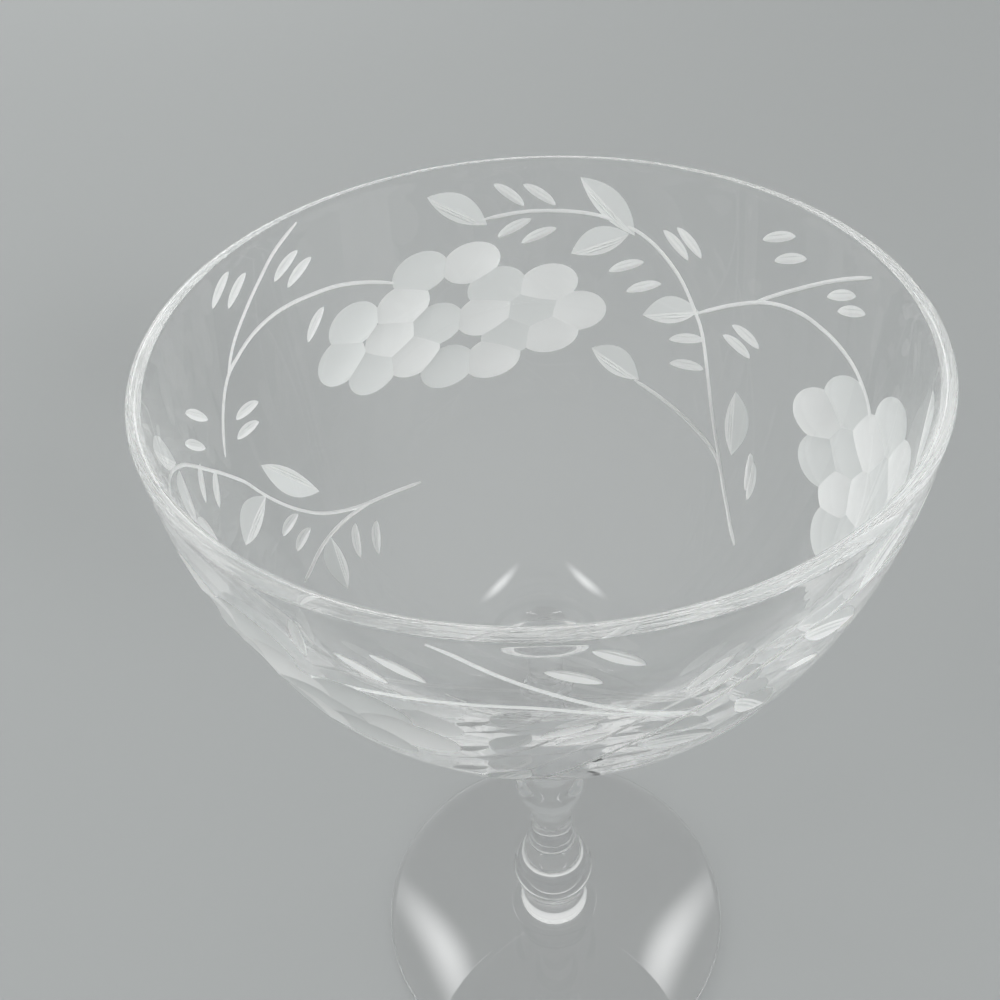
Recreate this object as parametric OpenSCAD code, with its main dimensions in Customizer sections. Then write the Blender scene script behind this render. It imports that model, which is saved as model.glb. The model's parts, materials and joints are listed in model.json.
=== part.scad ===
/* Coupe glass, lead-crystal style: a wide blown bowl on a knopped stem and a round foot.
   Five worked pieces of glass, welded face to face on one axis.
   Millimetres, +Z up, origin at the middle of the foot's underside. */

/* [Bowl] */
// Outside radius of the rim
rim_r = 47.5; // [40:0.5:56]
// Depth of the bowl's outside, from the rim down to the weld with the stem
bowl_depth = 54.7; // [44:0.1:66]
// Wall at the rim, rounded by fire polishing
rim_wall = 1.8; // [1.4:0.1:2.6]
// Glass between the bottom of the hollow and the weld
floor_wall = 3.7; // [2.5:0.1:6]

/* [Stem] */
// Radius of the weld between bowl and stem
bowl_weld_r = 8.1; // [6:0.1:10]
// Radius of the plain stretches of the stem
stem_r = 3.7; // [3:0.1:4.6]
// Length of the stem from the middle of the upper knop to the bowl
shank_length = 36.6; // [28:0.1:50]
// Radius of the upper knop
upper_knop_r = 5.8; // [5.2:0.1:7]
// Distance between the middles of the two knops
knop_spacing = 26.3; // [25:0.1:32]
// Radius of the ball knop
ball_r = 7.2; // [6.6:0.1:8]
// Height of the ball's middle above the weld on the foot
ball_rise = 10.1; // [9.5:0.1:13]
// Radius of the thick neck under the ball
neck_r = 5.8; // [5:0.1:6.2]

/* [Stem blends] */
// Hollow curve that opens the stem out to the bowl
bowl_blend = 8; // [6:0.5:12]
// Hollow curve between the upper knop and the plain stem
knop_blend = 14; // [8:0.5:16]
// Hollow curve between the stem and the top of the ball
ball_blend = 24; // [12:0.5:26]
// Hollow curve of the neck under the ball
neck_blend = 12; // [9:0.5:13]

/* [Foot] */
// Radius of the foot
foot_r = 32; // [26:0.5:40]
// Thickness of the foot at its rounded edge
foot_edge = 2.2; // [1.6:0.1:3]
// Thickness of the foot beside the stem
foot_crown = 3.3; // [3:0.1:5]
// Hollow curve from the foot up into the stem
foot_blend = 2.3; // [1.5:0.1:3.5]

/* [Hidden] */

// Clear glass with a faint grey-green cast
glass_colour = [0.86, 0.91, 0.90, 0.45];

// Facets of a full turn, and straight steps along one curve of an outline
turn_facets = 96;
curve_steps = 28;

// Bend points of the bowl's curve: shares of its radius beyond the bottom, and of its depth
side_bend_shares = [0.97, 0.62];
floor_bend_shares = [0.5, 1];

// Heights of the welds, knops and rim, built up from the table
foot_weld_z = foot_crown + foot_blend;
ball_z = foot_weld_z + ball_rise;
upper_knop_z = ball_z + knop_spacing;
bowl_weld_z = upper_knop_z + shank_length;
rim_z = bowl_weld_z + bowl_depth;

// Height between a round knop's middle and the narrowest point of a hollow blend that runs into it
function blend_reach(knop, blend, narrow) =
    sqrt((blend + knop) * (blend + knop) - (blend + narrow) * (blend + narrow));

// Share of that height, and of the blend's offset, at which knop and blend touch
function touch_share(knop, blend) = knop / (knop + blend);

// Points of an arc in the outline plane, from one angle to another
function arc(centre, radius, from, to) =
    [for (i = [0 : curve_steps])
        let (a = from + (to - from) * i / curve_steps)
        centre + radius * [cos(a), sin(a)]];

// Angle of a point seen from a centre
function angle_from(centre, p) = atan2(p[1] - centre[1], p[0] - centre[0]);

// Arc round a centre between two points that lie on it, going the short way
function arc_between(centre, p, q) =
    let (a = angle_from(centre, p))
    let (turn = angle_from(centre, q) - a)
    let (short = turn > 180 ? turn - 360 : turn < -180 ? turn + 360 : turn)
    arc(centre, norm(p - centre), a, a + short);

// Curve with two bend points, from a to d
function bend_curve(a, b, c, d) =
    [for (i = [0 : curve_steps])
        let (t = i / curve_steps)
        let (u = 1 - t)
        u * u * u * a + 3 * t * u * u * b + 3 * t * t * u * c + t * t * t * d];

// Flank of the bowl from its rim to its bottom, written as radius and height
function bowl_curve(top_r, bottom_r, depth) =
    let (span = top_r - bottom_r)
    bend_curve(
        [top_r, rim_z],
        [bottom_r + span * side_bend_shares[0], rim_z - depth * side_bend_shares[1]],
        [bottom_r + span * floor_bend_shares[0], rim_z - depth * floor_bend_shares[1]],
        [bottom_r, rim_z - depth]);

function reversed(points) = [for (i = [len(points) - 1 : -1 : 0]) points[i]];

// The rim is rounded over its whole wall, so the flanks end half a wall below the top
rim_round = rim_wall / 2;
rim_drop = [0, -rim_round];

// Upper knop: blends above and below it, and where they touch its round
upper_knop_middle = [0, upper_knop_z];
knop_reach = blend_reach(upper_knop_r, knop_blend, stem_r);
knop_over = [stem_r + knop_blend, upper_knop_z + knop_reach];
knop_under = [stem_r + knop_blend, upper_knop_z - knop_reach];
knop_touch_share = touch_share(upper_knop_r, knop_blend);
knop_top = upper_knop_middle + knop_touch_share * (knop_over - upper_knop_middle);
knop_bottom = upper_knop_middle + knop_touch_share * (knop_under - upper_knop_middle);

// Ball knop: the blend above it, the neck below it, and where they touch its round
ball_middle = [0, ball_z];
ball_over = [stem_r + ball_blend, ball_z + blend_reach(ball_r, ball_blend, stem_r)];
ball_top = ball_middle + touch_share(ball_r, ball_blend) * (ball_over - ball_middle);
neck_centre = [neck_r + neck_blend, ball_z - blend_reach(ball_r, neck_blend, neck_r)];
ball_bottom = ball_middle + touch_share(ball_r, neck_blend) * (neck_centre - ball_middle);

// Weld on the foot: the neck's own radius at that height
neck_drop = neck_centre[1] - foot_weld_z;
foot_weld = [neck_centre[0] - sqrt(neck_blend * neck_blend - neck_drop * neck_drop), foot_weld_z];

// Flare at the bowl: narrowest point of the hollow curve that opens out to the weld
flare_offset = stem_r + bowl_blend - bowl_weld_r;
flare_rise = sqrt(bowl_blend * bowl_blend - flare_offset * flare_offset);
flare_centre = [stem_r + bowl_blend, bowl_weld_z - flare_rise];

// Foot: round edge and the hollow curve up to the weld
edge_round = foot_edge / 2;
edge_centre = [foot_r - edge_round, edge_round];
foot_hollow = [foot_weld[0] + foot_blend, foot_weld_z];

module turned(outline) {
    color(glass_colour)
        rotate_extrude($fn = turn_facets)
            polygon(outline);
}

// Blown bowl, open at the top, its flat underside welded to the shank
module bowl() {
    outside = bowl_curve(rim_r, bowl_weld_r, bowl_depth);
    inside = bowl_curve(rim_r - rim_wall, 0, bowl_depth - floor_wall);
    rim_middle = [rim_r - rim_round, rim_z] + rim_drop;
    below_rim = rim_z - rim_round;
    turned(concat(
        [[0, bowl_weld_z]],
        [for (p = reversed(outside)) if (p[1] < below_rim) p],
        arc(rim_middle, rim_round, 0, 180),
        [for (p = inside) if (p[1] < below_rim) p]));
}

// Plain upper stem, opened out to the bowl at its top
module shank() {
    turned(concat(
        [[0, knop_top[1]]],
        arc_between(knop_over, knop_top, [stem_r, knop_over[1]]),
        arc_between(flare_centre, [stem_r, flare_centre[1]], [bowl_weld_r, bowl_weld_z]),
        [[0, bowl_weld_z]]));
}

// Upper knop with the waist drawn down from it to the ball
module upper_knop() {
    turned(concat(
        [[0, ball_top[1]]],
        arc_between(ball_over, ball_top, [stem_r, ball_over[1]]),
        arc_between(knop_under, [stem_r, knop_under[1]], knop_bottom),
        arc_between(upper_knop_middle, knop_bottom, knop_top),
        [[0, knop_top[1]]]));
}

// Ball knop with the thick neck that meets the foot
module ball_knop() {
    turned(concat(
        [[0, foot_weld_z]],
        arc_between(neck_centre, foot_weld, ball_bottom),
        arc_between(ball_middle, ball_bottom, ball_top),
        [[0, ball_top[1]]]));
}

// Round foot, flat underneath, rising to the stem
module foot() {
    turned(concat(
        [[0, 0]],
        arc(edge_centre, edge_round, -90, 90),
        arc_between(foot_hollow, [foot_hollow[0], foot_crown], foot_weld),
        [[0, foot_weld_z]]));
}

bowl();
shank();
upper_knop();
ball_knop();
foot();
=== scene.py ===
# %% [markdown]
# # A wheel-cut coupe glass
# This lesson dresses the solids of a stemmed coupe: a wide blown bowl, a stem with two knops and a
# round foot. The glass is turned from outlines, as on a lathe, and the matte grapevine is cut into
# the bowl with small wheel-shaped cutters, as a glass cutter does it.
# The first cell loads the solids as a fixed frame. Everything below is in metres in that frame.

# %% Load the frame
import json
import math
from collections import Counter

import bmesh
import bpy
import numpy as np
from mathutils import Matrix, Vector

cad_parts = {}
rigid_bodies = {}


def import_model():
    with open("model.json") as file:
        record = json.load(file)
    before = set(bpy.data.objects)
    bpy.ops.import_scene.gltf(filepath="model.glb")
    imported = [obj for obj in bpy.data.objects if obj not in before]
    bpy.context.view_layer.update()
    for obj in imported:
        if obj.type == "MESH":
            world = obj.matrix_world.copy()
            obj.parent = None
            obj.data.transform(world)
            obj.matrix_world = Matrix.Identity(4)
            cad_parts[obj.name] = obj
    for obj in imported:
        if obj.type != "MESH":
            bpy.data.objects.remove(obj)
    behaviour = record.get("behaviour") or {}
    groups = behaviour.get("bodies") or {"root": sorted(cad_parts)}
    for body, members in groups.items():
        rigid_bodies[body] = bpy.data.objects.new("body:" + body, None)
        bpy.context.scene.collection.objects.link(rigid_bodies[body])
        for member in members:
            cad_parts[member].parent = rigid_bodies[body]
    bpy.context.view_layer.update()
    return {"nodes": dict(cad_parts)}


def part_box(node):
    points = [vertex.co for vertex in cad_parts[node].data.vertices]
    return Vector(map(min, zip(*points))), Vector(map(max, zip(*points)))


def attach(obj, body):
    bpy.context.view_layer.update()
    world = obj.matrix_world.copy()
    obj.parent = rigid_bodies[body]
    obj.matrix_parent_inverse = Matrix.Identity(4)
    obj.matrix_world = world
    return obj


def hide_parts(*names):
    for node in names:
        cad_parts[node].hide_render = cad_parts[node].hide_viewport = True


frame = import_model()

MM = 0.001
print("nodes:", sorted(frame["nodes"]))

# %% [markdown]
# ## Camera
# The glass is looked at from a little above and close by, so the round mouth opens wide and the foot
# looks small. The place, the point aimed at and the tilt were solved from the rim and foot ellipses.
# A camera looks along its own -Z, so `to_track_quat` turns it to the aim before the tilt is added.

# %% Camera
CAMERA_PLACE = Vector((0.0, -112.4, 207.3)) * MM
CAMERA_AIM = Vector((-5.3, 0.0, 106.9)) * MM
CAMERA_TILT = -3.88  # degrees about the line of sight
CAMERA_LENS = 40.7  # millimetres on a 36 mm sensor

camera = bpy.data.objects.new("camera", bpy.data.cameras.new("camera"))
bpy.context.collection.objects.link(camera)
aim_turn = (CAMERA_AIM - CAMERA_PLACE).to_track_quat("-Z", "Y").to_matrix().to_4x4()
camera.matrix_world = (
    Matrix.Translation(CAMERA_PLACE) @ aim_turn @ Matrix.Rotation(math.radians(CAMERA_TILT), 4, "Z")
)
camera.data.sensor_width = 36.0
camera.data.lens = CAMERA_LENS
camera.data.clip_start = 0.005
bpy.context.scene.camera = camera
print("camera at", [round(c, 4) for c in camera.location])

# %% [markdown]
# ## Finishes
# Three kinds of finish are enough. The body is clear fire-polished soda-lime crystal. The ornament is
# the same glass ground matte by stone wheels, so light scatters there and it reads as pale grey-white.
# Where two hot pieces were welded there is no surface at all, so the faces that close each mesh there
# let light pass straight through.
# `linear` turns a written sRGB colour into the linear values that shaders use, and `add_node` puts
# one node into a material with its settings and links.

# %% Finish helpers
def linear(code):
    """Linear RGBA of an sRGB hex colour such as '#C8CCCA'."""
    channels = [int(code[i : i + 2], 16) / 255 for i in (1, 3, 5)]
    return [c / 12.92 if c <= 0.04045 else ((c + 0.055) / 1.055) ** 2.4 for c in channels] + [1.0]


def add_node(material, kind, inputs=None, **settings):
    """One node with its settings; each input is a value, or the output socket that feeds it."""
    tree = material.node_tree
    node = tree.nodes.new(kind)
    for key, value in settings.items():
        setattr(node, key, value)
    for key, value in (inputs or {}).items():
        if isinstance(value, bpy.types.NodeSocket):
            tree.links.new(value, node.inputs[key])
        else:
            node.inputs[key].default_value = value
    return node


def new_finish(name):
    material = bpy.data.materials.new(name)
    material.use_nodes = True
    material.node_tree.nodes.clear()
    return material


# %% [markdown]
# Blown crystal is never optically flat: the wall has a slow swell of a few hundredths of a millimetre,
# one wave every couple of centimetres. A faint bump with that spacing bends the reflections a little.
# Light from lamps passes through the glass to what lies behind it, so shadow rays see it as clear.

# %% Clear crystal
GLASS_IOR = 1.52
SWELL_SPACING = 22 * MM
SWELL_DEPTH = 2 * MM

crystal = new_finish("blown_crystal")  # fire-polished: sharp reflections, almost colourless
place = add_node(crystal, "ShaderNodeTexCoord")
swell = add_node(
    crystal,
    "ShaderNodeTexNoise",
    {"Vector": place.outputs["Object"], "Scale": 1 / SWELL_SPACING, "Detail": 1.0, "Roughness": 0.4},
)
swell_bump = add_node(
    crystal, "ShaderNodeBump", {"Height": swell.outputs["Fac"], "Strength": 0.01, "Distance": SWELL_DEPTH}
)
crystal_body = add_node(
    crystal,
    "ShaderNodeBsdfPrincipled",
    {
        "Base Color": linear("#FEFEFE"),
        "Roughness": 0.0,
        "IOR": GLASS_IOR,
        "Transmission Weight": 1.0,
        "Normal": swell_bump.outputs["Normal"],
    },
)
ray = add_node(crystal, "ShaderNodeLightPath")
lamp_light = add_node(crystal, "ShaderNodeBsdfTransparent", {"Color": linear("#FCFCFC")})
crystal_mix = add_node(
    crystal,
    "ShaderNodeMixShader",
    {0: ray.outputs["Is Shadow Ray"], 1: crystal_body.outputs["BSDF"], 2: lamp_light.outputs["BSDF"]},
)
add_node(crystal, "ShaderNodeOutputMaterial", {"Surface": crystal_mix.outputs["Shader"]})
print("made", crystal.name)

# %% [markdown]
# Grey cutting leaves the mark of the stone: a fine even grain that scatters light both back and
# through, so the cut looks frosted. The broad cuts stay a little see-through. Beside the frosted white
# there is a greyer copy of it, which is painted shade for cuts that would lie turned from the light. The
# thin lines come from a sharp wheel edge and are a little glossier, and their whiter colour is a painted
# highlight for the light they catch.
# The real grain is finer than a pixel, so it is drawn at about a third of a millimetre to show.

# %% Ground finishes
GRAIN_SPACING = 0.35 * MM
GRAIN_DEPTH = 0.05 * MM
GROUND_GLOSS = 0.15


def ground_finish(name, colour, roughness, clear_share, through_share, grain_strength):
    material = new_finish(name)
    place = add_node(material, "ShaderNodeTexCoord")
    grain = add_node(
        material,
        "ShaderNodeTexNoise",
        {"Vector": place.outputs["Object"], "Scale": 1 / GRAIN_SPACING, "Detail": 3.0, "Roughness": 0.6},
    )
    bump = add_node(
        material,
        "ShaderNodeBump",
        {"Height": grain.outputs["Fac"], "Strength": grain_strength, "Distance": GRAIN_DEPTH},
    )
    back = add_node(
        material,
        "ShaderNodeBsdfPrincipled",
        {
            "Base Color": linear(colour),
            "Roughness": roughness,
            "IOR": GLASS_IOR,
            "Transmission Weight": clear_share,
            "Specular IOR Level": GROUND_GLOSS,
            "Normal": bump.outputs["Normal"],
        },
    )
    through = add_node(material, "ShaderNodeBsdfTranslucent", {"Color": linear(colour)})
    both = add_node(
        material,
        "ShaderNodeMixShader",
        {0: through_share, 1: back.outputs["BSDF"], 2: through.outputs["BSDF"]},
    )
    add_node(material, "ShaderNodeOutputMaterial", {"Surface": both.outputs["Shader"]})
    print("made", name)
    return material


matte = ground_finish("stone_ground_matte", "#F4F6F5", 0.5, 0.1, 0.4, 0.25)  # frosted, soft white
# The greyer copy of the matte is painted shade.
fine = ground_finish("matte_painted_shade", "#E8EBEA", 0.5, 0.15, 0.4, 0.15)  # a finer stone, greyer
# The line finish's whiter colour is a painted highlight; its lower roughness is real gloss.
line = ground_finish("wheel_cut_line_painted_highlight", "#FAFCFB", 0.35, 0.0, 0.3, 0.15)  # thin bright strokes

# %% Fused weld
weld = new_finish("fused_weld")  # no surface at all where two hot pieces were joined
weld_clear = add_node(weld, "ShaderNodeBsdfTransparent")
add_node(weld, "ShaderNodeOutputMaterial", {"Surface": weld_clear.outputs["BSDF"]})
FINISHES = [crystal, matte, fine, line, weld]
CRYSTAL, MATTE, MATTE_PAINTED_SHADE, LINE_PAINTED_HIGHLIGHT, WELD = range(5)
print("made", weld.name)

# %% [markdown]
# ## Turning an outline
# Every piece of this glass is round, so each starts as half an outline in the XZ plane, drawn from the
# axis round to the axis. Straight steps extrude the last vertex, and hollow or round stretches spin it
# about the arc's centre. A full spin about Z with `use_merge` then turns the outline into a closed
# skin. Doubles on the axis are merged before the normals are made to point outwards.

# %% Outline and lathe helpers
TURN_STEPS = 256
TURN_MERGE = 0.002 * MM
TURN_CREASE = math.radians(35)


def start_outline(r, z):
    bm = bmesh.new()
    return bm, bm.verts.new((r * MM, 0, z * MM))


def line_to(bm, vert, r, z):
    vert = bmesh.ops.extrude_vert_indiv(bm, verts=[vert])["verts"][0]
    vert.co = (r * MM, 0, z * MM)
    return vert


def arc_to(bm, vert, centre, end, steps=20):
    """Spins the last vertex about a centre to a point, both given as (radius, height) in mm."""
    centre = Vector((centre[0], 0, centre[1])) * MM
    end = Vector((end[0], 0, end[1])) * MM
    a, b = vert.co - centre, end - centre
    turn = math.atan2(a.z * b.x - a.x * b.z, a.x * b.x + a.z * b.z)
    made = bmesh.ops.spin(bm, geom=[vert], cent=centre, axis=(0, 1, 0), angle=turn, steps=steps)
    return next(g for g in made["geom_last"] if isinstance(g, bmesh.types.BMVert))


def turn_solid(bm, name, weld_heights):
    """Spins the outline about Z into a named object; level faces at a weld height become welds."""
    bmesh.ops.spin(
        bm,
        geom=bm.verts[:] + bm.edges[:],
        cent=(0, 0, 0),
        axis=(0, 0, 1),
        angle=math.tau,
        steps=TURN_STEPS,
        use_merge=True,
    )
    bmesh.ops.remove_doubles(bm, verts=bm.verts, dist=TURN_MERGE)
    bmesh.ops.recalc_face_normals(bm, faces=bm.faces)
    for face in bm.faces:
        level = all(any(abs(v.co.z / MM - z) < 0.01 for z in weld_heights) for v in face.verts)
        face.material_index = WELD if level and abs(face.normal.z) > 0.99 else CRYSTAL
        face.smooth = not level
    mesh = bpy.data.meshes.new(name)
    bm.to_mesh(mesh)
    bm.free()
    for finish in FINISHES:
        mesh.materials.append(finish)
    mesh.set_sharp_from_angle(angle=TURN_CREASE)
    piece = bpy.data.objects.new(name, mesh)
    bpy.context.collection.objects.link(piece)
    print(name, "has", len(mesh.polygons), "faces")
    return piece


def dress(piece, node):
    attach(piece, "root")
    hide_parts(node)


# %% [markdown]
# ## Sizes
# Heights and outer radii come from the solids. What the solids' boxes don't show, such as the slim
# stem and the hollow curves between its knops, is named here in millimetres.

# %% Sizes
low, high = {}, {}
for node in frame["nodes"]:
    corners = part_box(node)
    low[node] = [c / MM for c in corners[0]]
    high[node] = [c / MM for c in corners[1]]

RIM_R = high["bowl"][0]
RIM_Z = high["bowl"][2]
BOWL_WELD_Z = low["bowl"][2]
RIM_WALL = 1.8
FLOOR_WALL = 3.7
BOWL_WELD_R = high["shank"][0]
STEM_R = 3.7
KNOP_R = 5.8
KNOP_TOP_Z = low["shank"][2]
BALL_R = high["ball_knop"][0]
BALL_TOP_Z = low["upper_knop"][2]
FOOT_R = high["foot"][0]
FOOT_WELD_Z = high["foot"][2]
NECK_R = 5.8
BOWL_BLEND = 8.0
KNOP_BLEND = 14.0
BALL_BLEND = 24.0
NECK_BLEND = 12.0
FOOT_EDGE = 2.2
FOOT_CROWN = 3.3
FOOT_BLEND = 2.3


def blend_reach(knop, blend, narrow):
    """Height from a knop's middle to the narrowest point of the hollow curve that runs into it."""
    return math.sqrt((blend + knop) ** 2 - (blend + narrow) ** 2)


ball_reach = blend_reach(BALL_R, BALL_BLEND, STEM_R)
BALL_Z = BALL_TOP_Z - ball_reach * BALL_R / (BALL_R + BALL_BLEND)
knop_reach = blend_reach(KNOP_R, KNOP_BLEND, STEM_R)
KNOP_Z = KNOP_TOP_Z - knop_reach * KNOP_R / (KNOP_R + KNOP_BLEND)
print("ball middle at", round(BALL_Z, 2), "mm, upper knop middle at", round(KNOP_Z, 2), "mm")

# %% [markdown]
# ## Foot
# A hand-made foot is a pressed disc: flat underneath, with a fully rounded thin edge, rising a little
# towards the stem and turning up into it in a small hollow curve.

# %% Foot
edge_round = FOOT_EDGE / 2
neck_reach = blend_reach(BALL_R, NECK_BLEND, NECK_R)
neck_centre = (NECK_R + NECK_BLEND, BALL_Z - neck_reach)
neck_drop = neck_centre[1] - FOOT_WELD_Z
foot_weld_r = neck_centre[0] - math.sqrt(NECK_BLEND**2 - neck_drop**2)

bm, v = start_outline(0, 0)
v = line_to(bm, v, FOOT_R - edge_round, 0)
v = arc_to(bm, v, (FOOT_R - edge_round, edge_round), (FOOT_R, edge_round), 10)
v = arc_to(bm, v, (FOOT_R - edge_round, edge_round), (FOOT_R - edge_round, FOOT_EDGE), 10)
v = line_to(bm, v, foot_weld_r + FOOT_BLEND, FOOT_CROWN)
v = arc_to(bm, v, (foot_weld_r + FOOT_BLEND, FOOT_WELD_Z), (foot_weld_r, FOOT_WELD_Z), 16)
v = line_to(bm, v, 0, FOOT_WELD_Z)
foot = turn_solid(bm, "foot_disc", [FOOT_WELD_Z])
dress(foot, "foot")

# %% [markdown]
# ## Stem
# The stem is three worked bits of glass: the ball with its thick neck, the upper knop with the waist
# drawn down from it, and the plain shank that opens out to the bowl. Each hollow curve touches the
# round of its knop without a corner, so the touching point lies on the line between the two centres.

# %% Stem
def touch(knop_z, knop_r, centre):
    """Point where a knop's round meets the hollow curve about a centre."""
    length = math.hypot(centre[0], centre[1] - knop_z)
    return centre[0] * knop_r / length, knop_z + (centre[1] - knop_z) * knop_r / length


ball_over = (STEM_R + BALL_BLEND, BALL_Z + ball_reach)
knop_under = (STEM_R + KNOP_BLEND, KNOP_Z - knop_reach)
knop_over = (STEM_R + KNOP_BLEND, KNOP_Z + knop_reach)
flare_offset = STEM_R + BOWL_BLEND - BOWL_WELD_R
flare_z = BOWL_WELD_Z - math.sqrt(BOWL_BLEND**2 - flare_offset**2)

bm, v = start_outline(0, FOOT_WELD_Z)
v = line_to(bm, v, foot_weld_r, FOOT_WELD_Z)
v = arc_to(bm, v, neck_centre, touch(BALL_Z, BALL_R, neck_centre))
v = arc_to(bm, v, (0, BALL_Z), touch(BALL_Z, BALL_R, ball_over))
v = line_to(bm, v, 0, BALL_TOP_Z)
ball = turn_solid(bm, "ball_knop_bit", [FOOT_WELD_Z, BALL_TOP_Z])
dress(ball, "ball_knop")

bm, v = start_outline(0, BALL_TOP_Z)
v = line_to(bm, v, *touch(BALL_Z, BALL_R, ball_over))
v = arc_to(bm, v, ball_over, (STEM_R, ball_over[1]))
v = line_to(bm, v, STEM_R, knop_under[1])
v = arc_to(bm, v, knop_under, touch(KNOP_Z, KNOP_R, knop_under))
v = arc_to(bm, v, (0, KNOP_Z), touch(KNOP_Z, KNOP_R, knop_over))
v = line_to(bm, v, 0, KNOP_TOP_Z)
knop = turn_solid(bm, "upper_knop_bit", [BALL_TOP_Z, KNOP_TOP_Z])
dress(knop, "upper_knop")

bm, v = start_outline(0, KNOP_TOP_Z)
v = line_to(bm, v, *touch(KNOP_Z, KNOP_R, knop_over))
v = arc_to(bm, v, knop_over, (STEM_R, knop_over[1]))
v = line_to(bm, v, STEM_R, flare_z)
v = arc_to(bm, v, (STEM_R + BOWL_BLEND, flare_z), (BOWL_WELD_R, BOWL_WELD_Z))
v = line_to(bm, v, 0, BOWL_WELD_Z)
shank = turn_solid(bm, "shank_bit", [KNOP_TOP_Z, BOWL_WELD_Z])
dress(shank, "shank")

# %% [markdown]
# ## Bowl
# The bowl's flank is one smooth curve with two bend points, given as shares of its radius and depth.
# The inside follows the same curve, a wall's thickness in, so the glass thickens towards the floor.

# %% Bowl
SIDE_BEND = (0.97, 0.62)
FLOOR_BEND = (0.5, 1.0)
CURVE_STEPS = 64


def bowl_point(share, top_r, bottom_r, depth):
    """Radius and height on the bowl's flank, from the rim at share 0 to the bottom at 1."""
    bends = [(1.0, 0.0), SIDE_BEND, FLOOR_BEND, (0.0, 1.0)]
    weights = [math.comb(3, i) * share**i * (1 - share) ** (3 - i) for i in range(4)]
    out = sum(w * b[0] for w, b in zip(weights, bends))
    down = sum(w * b[1] for w, b in zip(weights, bends))
    return bottom_r + (top_r - bottom_r) * out, RIM_Z - depth * down


outer_depth = RIM_Z - BOWL_WELD_Z
shares = [i / CURVE_STEPS for i in range(CURVE_STEPS + 1)]
outside = [bowl_point(t, RIM_R, BOWL_WELD_R, outer_depth) for t in shares]
inside = [bowl_point(t, RIM_R - RIM_WALL, 0, outer_depth - FLOOR_WALL) for t in shares]
rim_round = RIM_WALL / 2
rim_middle = (RIM_R - rim_round, RIM_Z - rim_round)
wall_top = RIM_Z - 1.3 * rim_round  # above this height the rim's round takes over from the wall

bm, v = start_outline(0, BOWL_WELD_Z)
for r, z in reversed(outside):
    if z < wall_top:
        v = line_to(bm, v, r, z)
v = line_to(bm, v, RIM_R, rim_middle[1])
v = arc_to(bm, v, rim_middle, (rim_middle[0], RIM_Z), 8)
v = arc_to(bm, v, rim_middle, (RIM_R - RIM_WALL, rim_middle[1]), 8)
for r, z in inside:
    if z < wall_top:
        v = line_to(bm, v, r, z)
bowl = turn_solid(bm, "cut_bowl", [BOWL_WELD_Z])
dress(bowl, "bowl")

# %% [markdown]
# ## Where a cut lies on the bowl
# The ornament is planned on the unrolled wall: degrees round the glass, counted from the viewer's side
# towards the right, and millimetres down the wall from the rim. `on_bowl` finds such a point on the
# real outside, and `wrap` bends a small flat-drawn cutter over the wall there, so that every cut has
# the same depth however much the wall curves.

# %% Map of the bowl's outside
flank = np.array([bowl_point(i / 1000, RIM_R, BOWL_WELD_R, outer_depth) for i in range(1001)])
flank_down = np.concatenate([[0], np.cumsum(np.hypot(*np.diff(flank, axis=0).T))])


def flank_at(down):
    """Radius and height on the outside, so many millimetres down the wall."""
    return np.interp(down, flank_down, flank[:, 0]), np.interp(down, flank_down, flank[:, 1])


def on_bowl(round_deg, down, out=0.0):
    """Point on the outside, or so many millimetres out from it."""
    step = 0.2
    (r0, z0), (r1, z1) = flank_at(down - step), flank_at(down + step)
    slope = Vector((r1 - r0, z1 - z0)).normalized()
    r, z = flank_at(down)
    r, z = r - slope.y * out, z + slope.x * out
    angle = math.radians(round_deg)
    return Vector((r * math.sin(angle), -r * math.cos(angle), z)) * MM


def wrap(bm, round_deg, down, turn_deg):
    """Bends a cutter drawn flat (x right, y up, z out of the glass, in mm) over the bowl."""
    bmesh.ops.rotate(bm, verts=bm.verts, matrix=Matrix.Rotation(math.radians(turn_deg), 3, "Z"))
    for vert in bm.verts:
        x, y, z = vert.co
        r = flank_at(down - y)[0]
        vert.co = on_bowl(round_deg + math.degrees(x / r), down - y, z)


print("wall is", round(flank_down[-1], 1), "mm from rim to weld")

# %% [markdown]
# ## Cutters
# A grape is the dimple of a round-edged wheel, so its cutter is a flattened ball that dips into the
# wall. Leaves and sparks are mitre cuts: a V-edged wheel sinks in and rises again, which leaves a
# pointed almond with a spine. Its cutter is a grid with three rows of vertices: the middle row is the
# spine, and the outer rows open out to the surface. Stems are drawn with a thin round wheel, so their
# cutters are tubes along smooth routes.

# %% Cutters
cutters = bpy.data.collections.new("cutters")
bpy.context.scene.collection.children.link(cutters)


def keep_cutter(bm):
    """Stores a closed cutter; one with a negative volume is inside out, so its faces are turned."""
    bmesh.ops.recalc_face_normals(bm, faces=bm.faces)
    if bm.calc_volume(signed=True) < 0:
        bmesh.ops.reverse_faces(bm, faces=bm.faces)
    mesh = bpy.data.meshes.new("cutter")
    bm.to_mesh(mesh)
    bm.free()
    for material in FINISHES:
        mesh.materials.append(material)
    cutters.objects.link(bpy.data.objects.new("cutter", mesh))


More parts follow.
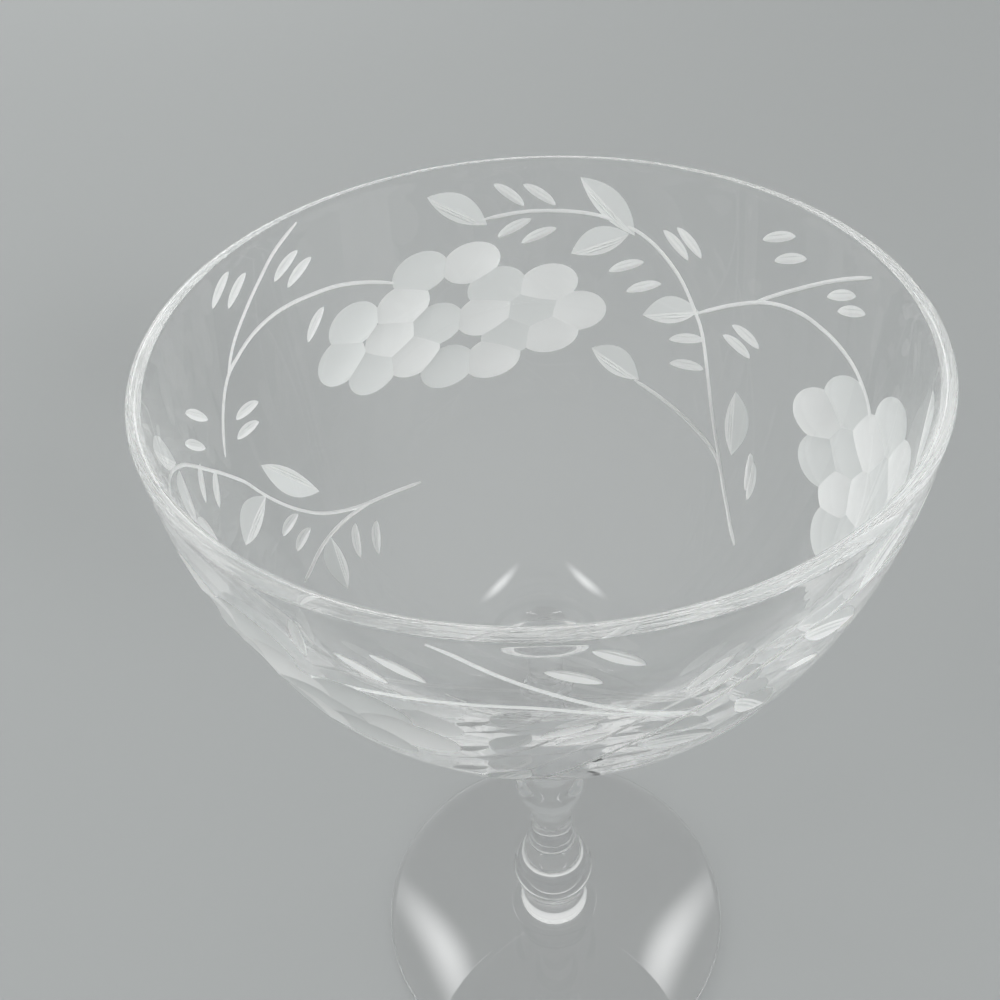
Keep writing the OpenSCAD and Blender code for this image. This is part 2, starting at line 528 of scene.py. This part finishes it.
def cut_dimple(round_deg, down, turn_deg, length, width, depth, finish):
    """Oval dimple: the cap of a ball, of which a share of the radius dips into the wall."""
    dip, spare = 0.25, 0.25
    cap_width = math.sqrt(2 * dip - dip * dip)
    tall = depth / dip
    bm = bmesh.new()
    bmesh.ops.create_icosphere(bm, subdivisions=4, radius=1)
    everything = bm.verts[:] + bm.edges[:] + bm.faces[:]
    level = Vector((0, 0, dip + spare - 1))
    bmesh.ops.bisect_plane(bm, geom=everything, plane_co=level, plane_no=(0, 0, 1), clear_outer=True)
    lid = bmesh.ops.holes_fill(bm, edges=bm.edges[:])["faces"]
    bmesh.ops.triangulate(bm, faces=lid)
    bmesh.ops.scale(bm, verts=bm.verts, vec=(length / 2 / cap_width, width / 2 / cap_width, tall))
    bmesh.ops.translate(bm, verts=bm.verts, vec=(0, 0, tall - depth))
    for face in bm.faces:
        face.material_index = finish
    wrap(bm, round_deg, down, turn_deg)
    keep_cutter(bm)


def cut_mitre(round_deg, down, turn_deg, length, halves, depth, finishes, shift=0.0, blunt=1.0):
    """Almond stroke with a V section; halves and finishes are those on either side of its spine."""
    overrun = 1.12
    lift = 0.5 * depth
    bm = bmesh.new()
    bmesh.ops.create_grid(bm, x_segments=20, y_segments=2, size=1)
    for face in bm.faces:
        face.material_index = finishes[0 if face.calc_center_median().y > 0 else 1]
    for vert in bm.verts:
        along, side = vert.co.x * overrun, round(vert.co.y)
        swell = 1 - along * along
        swell = swell**blunt if swell > 0 else swell
        reach = halves[0 if side > 0 else 1] * (swell + lift / depth)
        vert.co = (along * length / 2, side * reach + shift, lift if side else -depth * swell)
    lid = bmesh.ops.extrude_face_region(bm, geom=bm.faces[:])["geom"]
    for vert in (g for g in lid if isinstance(g, bmesh.types.BMVert)):
        vert.co.z = 2 * lift
    wrap(bm, round_deg, down, turn_deg)
    keep_cutter(bm)


def smooth_route(points, spacing):
    """Points close together on a smooth curve through the given (degrees, millimetres down)."""
    points = [Vector(p) for p in points]
    points = [2 * points[0] - points[1]] + points + [2 * points[-1] - points[-2]]
    route = []
    for a, b, c, d in zip(points, points[1:], points[2:], points[3:]):
        count = max(2, int((c - b).length / spacing))
        for t in np.arange(count) / count:
            bend = (2 * a - 5 * b + 4 * c - d) * t**2 + (3 * b - a - 3 * c + d) * t**3
            route.append((2 * b + (c - a) * t + bend) / 2)
    return route + [points[-2]]


STEM_STEP = 0.9
STEM_LIFT = 0.08  # millimetres from the wall out to the tube's middle
STEM_TIP = 0.55  # share of the width at a stem's ends
STEM_TAPER = 0.15  # share gained with each point


def cut_stem(points, width):
    """Round-bottomed line along a route on the bowl, thinner at its ends."""
    route = smooth_route(points, STEM_STEP)
    curve = bpy.data.curves.new("stem_route", "CURVE")
    curve.dimensions = "3D"
    curve.bevel_depth = width / 2 * MM
    curve.bevel_resolution = 2
    curve.use_fill_caps = True
    spline = curve.splines.new("POLY")
    spline.points.add(len(route) - 1)
    for i, (point, (round_deg, down)) in enumerate(zip(spline.points, route)):
        point.co = (*on_bowl(round_deg, down, STEM_LIFT), 1)
        point.radius = min(1.0, STEM_TIP + STEM_TAPER * min(i, len(route) - 1 - i))
    tube = bpy.data.objects.new("stem_route", curve)
    bm = bmesh.new()
    bm.from_mesh(tube.to_mesh())
    bpy.data.objects.remove(tube)
    bmesh.ops.remove_doubles(bm, verts=bm.verts, dist=0.001 * MM)
    # Stems take the line finish, whose whiter colour is a painted highlight.
    for face in bm.faces:
        face.material_index = LINE_PAINTED_HIGHLIGHT
    keep_cutter(bm)


# %% [markdown]
# ## Grapevine
# A common grapevine sprig is cut three times round the bowl: a vine that climbs from the bottom
# towards the rim, a bunch of grapes lying on its side, leaves, and pairs of short sparks that fill the
# ground. It is freehand work, so no two sprigs are quite alike, and each has its own plan. Places are
# degrees from the sprig's fork, and millimetres down from the rim.

# %% Sprig plans
RIGHT_SPRIG = {
    "fork": 143,
    "bunch": (-60.5, 1.0, (11.6, 7.2), "close"),
    "stems": [
        [(-40, 49), (-33, 47.8), (-24, 45), (-17, 41.5), (-10, 36.5), (-5, 31), (-0.5, 24.5), (2, 21.7),
         (7, 16.7), (13.5, 12.3), (20, 10), (27, 8.9), (37, 8.7), (46, 9.4)],
        [(-49.3, 19.5), (-47.7, 18.9), (-44.6, 17.9), (-40.9, 17), (-37, 16.2), (-31.3, 15.5),
         (-26.5, 15.2), (-20, 15.1), (-13, 16.1), (-6.5, 18.3), (2, 22)],
        [(-34, 4), (-26, 7.8), (-17, 12.8), (-10, 16.9)],
        [(-24, 45), (-15.5, 41.3), (-6, 38.9), (4, 36.7), (12.5, 34.8)],
    ],
    "leaves": [(22, 7.6, 44, 12.3), (23.3, 13.6, -23, 9.9), (7.2, 22.8, -17, 9.5), (-15.7, 35.3, 63, 10.0),
               (17.7, 32.6, 25, 9.5), (50.7, 7.4, 33, 10.7)],
    "sparks": [(-15.3, 8.6, -25), (-12, 6.3, -25), (-31.7, 10.3, -25), (-28.3, 9.3, -28), (5.7, 11.4, 40),
               (8.3, 12.2, 40), (17.7, 16.9, -22), (13.7, 19.8, -22), (2.5, 26.3, -15), (0.9, 30.3, -8),
               (-10.3, 22.4, 15), (-9, 24.4, 15), (-26.3, 40, 55), (-28.6, 40.8, 55), (35, 6.1, 35),
               (40.7, 5.9, 40), (35.3, 12.6, -22), (40, 11.2, -25)],
}
LEFT_SPRIG = {
    "fork": 263,
    "bunch": (-64.5, 0.0, (9.8, 6.4), "loose"),
    "stems": [
        [(-44, 48.2), (-37.6, 47.6), (-27, 46.2), (-20.5, 44.8), (-14.8, 42.8), (-10.7, 40.7),
         (-7.5, 38.2), (-5.1, 35.7), (-3.1, 33), (-1.4, 30.1), (0.1, 27.2), (3.9, 23), (6.4, 20.7),
         (9, 18.3), (11.5, 16.2), (14, 14.4), (20, 11.5), (28, 9.5), (38, 8.8)],
        [(-55, 16.5), (-49, 14.8), (-43, 13.6), (-37.6, 13.1), (-32, 12.7), (-27, 12.7), (-21.5, 13.2),
         (-16.3, 14.2), (-12, 15.2), (-7, 17.7), (0.3, 22.3)],
        [(-38, 1.9), (-32, 4.3), (-27, 7), (-21.5, 9.8), (-16.3, 12.4), (-11.6, 15.4)],
        [(-27, 46.2), (-16.3, 45), (-5.8, 44), (6, 43), (12, 42)],
    ],
    "leaves": [(19.6, 9.1, 50, 9.5), (21, 15.7, -28, 8.5), (-11, 33.6, 240, 12.1), (6.5, 30.7, 8, 12.3),
               (-1.4, 47.2, -37, 9)],
    "sparks": [(-21.7, 6.1, -28), (-18.1, 4.4, -28), (-36, 9, -25), (-33.6, 7.1, -25), (1.2, 14.4, 46),
               (6.5, 16.2, 45), (11.6, 19.4, -25), (8.7, 22.6, -23), (-12.1, 21.2, 10), (-9.5, 23.3, 12),
               (-1.2, 37.3, 10), (-0.5, 40.3, 8), (-13.1, 48.4, -38), (-19.2, 50.7, -38), (35, 5.5, 35),
               (35.3, 12.6, -22), (40, 11.2, -25), (-36, 17.5, -38), (67, 6.8, 90)],
}
FRONT_SPRIG = {
    "fork": 23,
    "bunch": (-68.2, -3.2, (11.6, 7.2), "close"),
    "stems": [
        [(-52, 49), (-42, 46.5), (-33, 42), (-26, 36), (-20, 29), (-15, 24.3), (-11, 21), (-7, 18.6),
         (-4, 17), (-1, 15.2), (2, 13.6), (5, 12.3), (8, 11.3), (13, 9.9), (20, 9), (28, 8.7),
         (37, 8.7), (46, 9.4)],
        [(-57, 15.2), (-48, 13), (-38, 11.6), (-28, 11.2), (-23, 11.6), (-18, 12.9), (-13, 14.4),
         (-8, 16.4), (-4, 17.6)],
        [(-36, 2), (-33, 3.2), (-28, 6), (-23, 8.6), (-18, 11.2), (-13, 13.6), (-8, 15.8), (-4, 17.5)],
        [(-37, 45), (-28, 41.3), (-17, 38.9), (-6, 36.7), (3, 34.8)],
    ],
    "leaves": [(15.7, 13, -28, 11.5), (6, 22, -50, 9.5), (-4.8, 25, -25, 10.7), (-29, 33.5, 62, 10),
               (8.5, 32.6, 25, 9.5), (23, 5.9, 40, 9.5), (50.7, 7.4, 33, 10.7)],
    "sparks": [(-3.7, 10, 42), (-0.5, 11.4, 45), (-20, 6.4, -25), (-15, 4.1, -33), (-45, 8.4, -28),
               (-40, 6.8, -28), (-20.5, 16.8, 22), (-18.5, 19, 20), (35, 6.1, 35), (40.7, 5.9, 40),
               (35.3, 12.6, -22), (40, 11.2, -25), (-36, 38.5, 55), (-38.5, 39.3, 55), (13, 18, -22),
               (-8, 29.5, -15), (-10, 33, -8)],
}
BUNCH_ROWS = {  # millimetres down, then degrees from the bunch's middle
    "loose": [
        (16, (-6.4, 4.2)),
        (20.4, (-21.9, -11.1, 9.2, 20.6)),
        (24.7, (-28, -18.5, -8, 3, 13.5, 26)),
        (28.4, (-22, -13, 9.5, 19.8)),
        (31.8, (-8.5, 2.4)),
    ],
    "close": [
        (14.9, (-5.8, 5.4)),
        (19.8, (-14.8, -3, 8.8, 20.6)),
        (24.5, (-24.5, -12.6, 0, 13.1, 26)),
        (28.6, (-17.5, -5, 7.5, 18.5)),
        (31.7, (-9.8, 1.3)),
    ],
}

# %% [markdown]
# A grape is a little wider than the step to its neighbour, so neighbours share a crisp ridge. Every
# other grape is cut deeper in the plain matte, and the shallow ones between carry a greyer copy of it as
# painted shade, so a deep grape's round shows whole where it runs over a shallow one. A leaf is one
# almond with a broad half in that painted shade and a narrower half in the whiter line finish, whose
# extra white is a painted highlight; in it two fine strokes run beside the spine. Each stroke is as long
# as the almond is there, and the two sides of its groove are painted one lit and one shaded, so it
# shows as a fine double line. A spark is a small, blunter almond with one such stroke.

# %% Cut sprigs
# Every other grape takes the greyer matte copy as painted shade.
GRAPE_CUTS = ((1.0, MATTE), (0.78, MATTE_PAINTED_SHADE))  # depth and finish, taken in turn
GRAPE_TILT = -12
STEM_WIDTH = 0.66
LEAF_HALVES = (2.5, 1.7)
LEAF_DEPTH = 0.5
STROKES = (0.35, 0.8)  # millimetres from the spine
STROKE_HALVES = (0.4, 0.4)
STROKE_BITE = 0.17
SPARK_LENGTH = 6.0
SPARK_HALVES = (1.0, 0.6)
SPARK_DEPTH = 0.32
SPARK_BLUNT = 0.65
SPARK_STROKE = 0.42
SPARK_STROKE_LENGTH = 5.1
SPARK_STROKE_HALVES = (0.28, 0.28)


def cut_leaf(round_deg, down, turn_deg, length):
    # The broad half is painted shade and the narrow half a painted highlight; each stroke is painted lit
    # on one side and shaded on the other.
    cut_mitre(round_deg, down, turn_deg, length, LEAF_HALVES, LEAF_DEPTH, (MATTE_PAINTED_SHADE, LINE_PAINTED_HIGHLIGHT))
    for aside in STROKES:
        room = 1 - aside / LEAF_HALVES[1]
        depth = LEAF_DEPTH * room + STROKE_BITE
        size = length * math.sqrt(room), STROKE_HALVES, depth
        cut_mitre(round_deg, down, turn_deg, *size, (LINE_PAINTED_HIGHLIGHT, MATTE_PAINTED_SHADE), -aside)


def cut_spark(round_deg, down, turn_deg):
    size = SPARK_LENGTH, SPARK_HALVES, SPARK_DEPTH
    # The spark's narrow half is a painted highlight, and its stroke is painted shaded on one side and lit
    # on the other.
    cut_mitre(round_deg, down, turn_deg, *size, (MATTE, LINE_PAINTED_HIGHLIGHT), blunt=SPARK_BLUNT)
    depth = SPARK_DEPTH * (1 - SPARK_STROKE / SPARK_HALVES[0]) + STROKE_BITE / 2
    size = SPARK_STROKE_LENGTH, SPARK_STROKE_HALVES, depth
    cut_mitre(round_deg, down, turn_deg, *size, (MATTE_PAINTED_SHADE, LINE_PAINTED_HIGHLIGHT), SPARK_STROKE)


for sprig in (RIGHT_SPRIG, LEFT_SPRIG, FRONT_SPRIG):
    fork = sprig["fork"]
    shift, drop, grape, kind = sprig["bunch"]
    for row, places in BUNCH_ROWS[kind]:
        for i, place in enumerate(places):
            depth, finish = GRAPE_CUTS[i % 2]
            cut_dimple(fork + shift + place, row + drop, GRAPE_TILT, *grape, depth, finish)
    for stem in sprig["stems"]:
        cut_stem([(fork + place, down) for place, down in stem], STEM_WIDTH)
    for place, down, turn, length in sprig["leaves"]:
        cut_leaf(fork + place, down, turn, length)
    for place, down, turn in sprig["sparks"]:
        cut_spark(fork + place, down, turn)

# %% [markdown]
# ## Cutting the bowl
# A Boolean modifier takes all cutters away from the bowl at once. Each cut face keeps its cutter's
# finish, because the material mode goes by slot number. The result is stored as the bowl's own mesh,
# so that no modifier or cutter is left.

# %% Cut the bowl
grind = bowl.modifiers.new("wheel_cuts", "BOOLEAN")
grind.operation = "DIFFERENCE"
grind.operand_type = "COLLECTION"
grind.collection = cutters
grind.solver = "EXACT"
grind.material_mode = "INDEX"
cut_mesh = bpy.data.meshes.new_from_object(bowl.evaluated_get(bpy.context.evaluated_depsgraph_get()))
bowl.modifiers.clear()
for cutter in list(cutters.objects):
    bpy.data.objects.remove(cutter)
bpy.data.collections.remove(cutters)
print("cut mesh has", len(cut_mesh.polygons), "faces")

# %% [markdown]
# Where cuts only just touch, the Boolean leaves corners closer than light can tell apart. These are
# merged, the faces are split into triangles, and triangles that then lie back to back on the same three
# corners are deleted, so that the skin is clean and closed. Edges where a cut meets the clear wall or
# another cut stay crisp, and all other edges shade smoothly.

# %% Clean the cut skin
CREASE = math.radians(12)
SLIVER = 0.00005 * MM

bm = bmesh.new()
bm.from_mesh(cut_mesh)
bmesh.ops.remove_doubles(bm, verts=bm.verts, dist=SLIVER)
bmesh.ops.triangulate(bm, faces=bm.faces)
corners = [frozenset(face.verts) for face in bm.faces]
uses = Counter(corners)
doubled = [face for face, key in zip(bm.faces, corners) if uses[key] > 1]
bmesh.ops.delete(bm, geom=doubled, context="FACES")
for face in bm.faces:
    face.smooth = face.material_index != WELD
for edge in bm.edges:
    kinds = {face.material_index for face in edge.link_faces}
    ridge = kinds <= {MATTE, MATTE_PAINTED_SHADE, LINE_PAINTED_HIGHLIGHT} and edge.calc_face_angle(0) > CREASE
    edge.smooth = len(kinds) == 1 and not ridge
print("open edges:", sum(not edge.is_manifold for edge in bm.edges))
bm.to_mesh(bowl.data)
bm.free()
print("cut bowl has", len(bowl.data.polygons), "triangles")

# %% [markdown]
# ## Stage
# A plain pale table, a pale room and soft lamps. The table top lies a hair under the foot, so that the
# two never share a plane.

# %% Table
FLOOR_SIZE = 2.0
FLOOR_GAP = 0.2 * MM

floor_finish = new_finish("pale_table")  # plain, even and dull, so nothing on it draws the eye
floor_body = add_node(
    floor_finish, "ShaderNodeBsdfPrincipled", {"Base Color": linear("#ABAEAE"), "Roughness": 0.7}
)
add_node(floor_finish, "ShaderNodeOutputMaterial", {"Surface": floor_body.outputs["BSDF"]})
bm = bmesh.new()
bmesh.ops.create_grid(bm, x_segments=1, y_segments=1, size=FLOOR_SIZE / 2)
bmesh.ops.translate(bm, verts=bm.verts, vec=(0, 0, -FLOOR_GAP))
floor_mesh = bpy.data.meshes.new("table_top")
bm.to_mesh(floor_mesh)
bm.free()
floor_mesh.materials.append(floor_finish)
floor = bpy.data.objects.new("table_top", floor_mesh)
bpy.context.collection.objects.link(floor)
print("table is", FLOOR_SIZE, "m wide")

# %% [markdown]
# Clear glass shows only what it bends and mirrors, so it is given a room to show: pale at the horizon
# and lighter overhead. That room is for the eye and for what the glass mirrors or lets through. As light
# it is dim, and the lamps do the work, so that each cut has a lit and a shaded side.

# %% Room
ROOM_LIGHT = 0.12
ROOM_HORIZON = 0.7
ROOM_OVERHEAD = 0.85

world = bpy.data.worlds.new("pale_room")
world.use_nodes = True
world.node_tree.nodes.clear()
direction = add_node(world, "ShaderNodeTexCoord")
axes = add_node(world, "ShaderNodeSeparateXYZ", {"Vector": direction.outputs["Generated"]})
seen_room = add_node(
    world,
    "ShaderNodeMapRange",
    {"Value": axes.outputs["Z"], "From Max": 0.9, "To Min": ROOM_HORIZON, "To Max": ROOM_OVERHEAD},
    interpolation_type="SMOOTHSTEP",
)
ray = add_node(world, "ShaderNodeLightPath")
direct = add_node(
    world,
    "ShaderNodeMath",
    {0: ray.outputs["Is Camera Ray"], 1: ray.outputs["Is Glossy Ray"]},
    operation="MAXIMUM",
)
seen = add_node(
    world,
    "ShaderNodeMath",
    {0: direct.outputs["Value"], 1: ray.outputs["Is Transmission Ray"]},
    operation="MAXIMUM",
)
strength = add_node(
    world, "ShaderNodeMix", {0: seen.outputs["Value"], 2: ROOM_LIGHT, 3: seen_room.outputs["Result"]}
)
room = add_node(
    world, "ShaderNodeBackground", {"Color": linear("#F4F6F5"), "Strength": strength.outputs[0]}
)
add_node(world, "ShaderNodeOutputWorld", {"Surface": room.outputs["Background"]})
bpy.context.scene.world = world
print("made", world.name)

# %% [markdown]
# The two softboxes in front stand about thirty degrees up and between the bunches, so that no bunch
# shades the wall across from it. Three low lamps stand further off at the sides and the back. The ground
# cuts are nearly upright and glow when light falls on them from outside, so a low lamp gives them more
# than it gives the table. These lamps aren't mirrored, because their images would lie on the ornament
# like spots. Only the strips are: two overhead draw pale bands along the sides of the foot, and one
# behind brightens the rim.

# %% Lamps
MIDDLE = Vector((0, 0, 0.08))
LAMP_PEAK = 2.5  # brightness of a lamp's middle beside that of an even lamp


def add_lamp(name, place, size, power, mirrored):
    """Softbox: an area lamp that is brightest in its middle and fades to its edges."""
    lamp = bpy.data.objects.new(name, bpy.data.lights.new(name, "AREA"))
    bpy.context.collection.objects.link(lamp)
    lamp.location = Vector(place)
    lamp.rotation_euler = (MIDDLE - lamp.location).to_track_quat("-Z", "Y").to_euler()
    lamp.data.shape = "RECTANGLE"
    lamp.data.size, lamp.data.size_y = size
    lamp.data.energy = power
    lamp.visible_glossy = mirrored
    lamp.visible_camera = lamp.visible_transmission = False
    lamp.data.use_nodes = True
    lamp.data.node_tree.nodes.clear()
    spot = add_node(lamp.data, "ShaderNodeNewGeometry")
    reach = add_node(
        lamp.data,
        "ShaderNodeVectorMath",
        {0: spot.outputs["Parametric"], 1: (0.5, 0.5, 0.0)},
        operation="DISTANCE",
    )
    fade = add_node(
        lamp.data,
        "ShaderNodeMapRange",
        {"Value": reach.outputs["Value"], "From Max": 0.5, "To Min": LAMP_PEAK, "To Max": 0.0},
        interpolation_type="SMOOTHSTEP",
    )
    glow = add_node(lamp.data, "ShaderNodeEmission", {"Strength": fade.outputs["Result"]})
    add_node(lamp.data, "ShaderNodeOutputLight", {"Surface": glow.outputs["Emission"]})


add_lamp("left_softbox", (-1.05, -0.38, 0.75), (0.5, 0.5), 12.5, False)
add_lamp("right_softbox", (0.7, -0.9, 0.75), (0.5, 0.5), 14.5, False)
add_lamp("left_low", (-1.7, 0.25, 0.5), (0.6, 0.6), 18.0, False)
add_lamp("right_low", (1.7, 0.25, 0.5), (0.6, 0.6), 17.0, False)
add_lamp("back_low", (-0.4, 1.7, 0.5), (0.6, 0.6), 20.0, False)
add_lamp("left_strip", (-0.235, 0.45, 1.05), (0.08, 0.5), 0.4, True)
add_lamp("right_strip", (0.235, 0.45, 1.05), (0.08, 0.5), 0.4, True)
add_lamp("back_strip", (-0.2, 0.9, 0.65), (1.3, 0.25), 2.0, True)

# %% [markdown]
# Light bounces many times inside a glass wall before it leaves, so paths are followed far. Lamp light
# already passes straight through the glass to what is behind it, so the bent light spots that glass
# throws are left out: otherwise the same light would arrive twice.

# %% Light paths
BOUNCES = 32
cycles = bpy.context.scene.cycles
cycles.max_bounces = cycles.glossy_bounces = BOUNCES
cycles.transmission_bounces = cycles.transparent_max_bounces = BOUNCES
cycles.caustics_reflective = cycles.caustics_refractive = False
bpy.context.scene.view_settings.view_transform = "Standard"
print("light paths follow", BOUNCES, "bounces")
